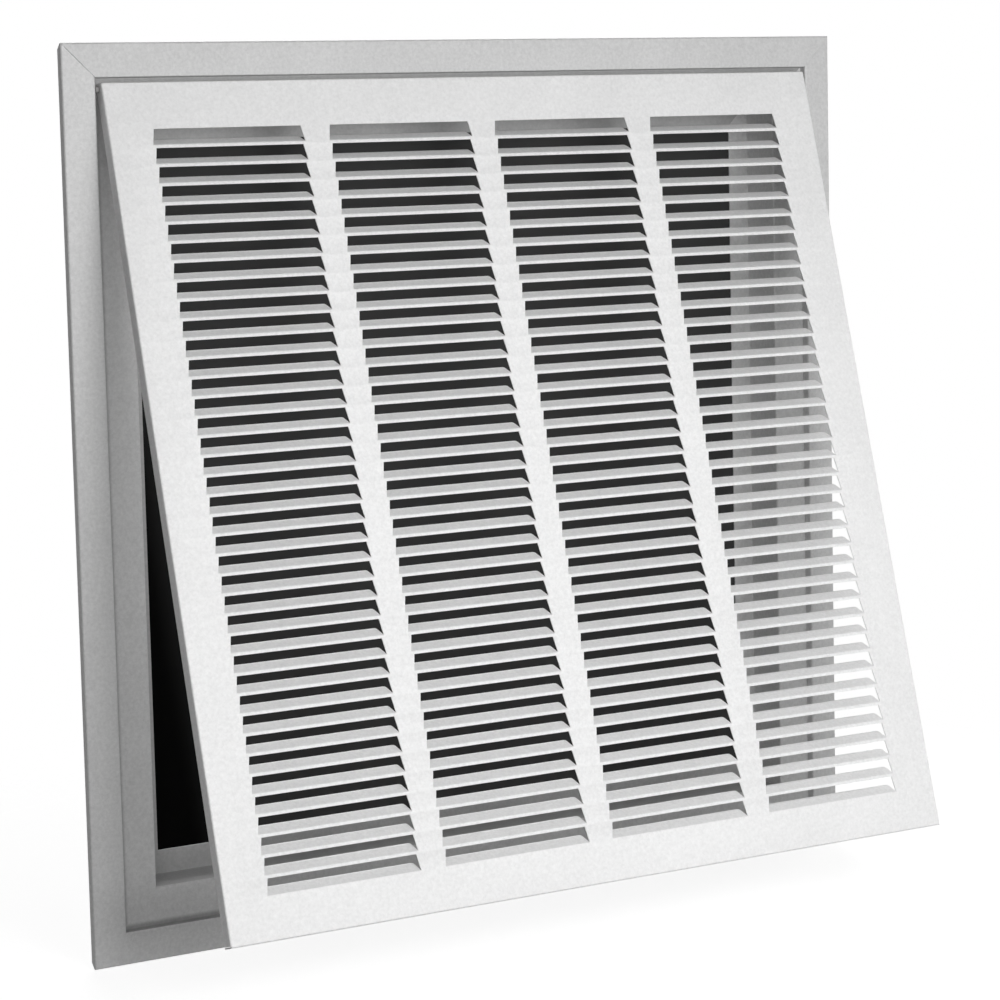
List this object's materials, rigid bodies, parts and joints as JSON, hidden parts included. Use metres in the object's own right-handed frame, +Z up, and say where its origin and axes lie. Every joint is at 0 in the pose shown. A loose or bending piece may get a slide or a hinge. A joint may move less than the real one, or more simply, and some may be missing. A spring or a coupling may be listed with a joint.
{
  "type": "return air filter grille",
  "caption": "Square sheet steel return air grille: mitred frame with a filter neck, and a louvred door hinged at the top that swings open.",
  "frame": {"origin": "on the wall's face, in the middle of the back of the top rail's flat seat", "axes": "+X to the right as seen from the room, -Y out of the wall into the room, +Y into the wall, +Z up"},
  "size_m": [0.6032, 0.1939, 0.6032],
  "materials": {
    "white_enamel": "fine powder coat, satin",
    "zinc_steel": "zinc plated",
    "spring_steel": "bare spring steel",
    "nylon": "grey nylon"
  },
  "bodies": {
    "frame": {"frame_rail_top": "white_enamel", "frame_rail_bottom": "white_enamel", "frame_rail_left": "white_enamel", "frame_rail_right": "white_enamel", "corner_gusset_top_left": "zinc_steel", "corner_gusset_top_right": "zinc_steel", "corner_gusset_bottom_left": "zinc_steel", "corner_gusset_bottom_right": "zinc_steel", "neck_angle_top_left": "zinc_steel", "neck_angle_top_right": "zinc_steel", "neck_angle_bottom_left": "zinc_steel", "neck_angle_bottom_right": "zinc_steel", "hinge_pin_left": "zinc_steel", "hinge_pin_right": "zinc_steel", "hinge_spacer_left": "nylon", "hinge_spacer_right": "nylon", "bottom_catch_left": "spring_steel", "bottom_catch_right": "spring_steel", "catch_rivet_left": "zinc_steel", "catch_rivet_right": "zinc_steel"},
    "door": {"door_panel": "white_enamel"}
  },
  "joints": [
    {"name": "door_hinge", "type": "hinge", "parent": "frame", "child": "door", "pos_m": [0, -0.0043, 0.00519], "axis": [-1, 0, 0], "range_deg": [-16, 74]}
  ]
}
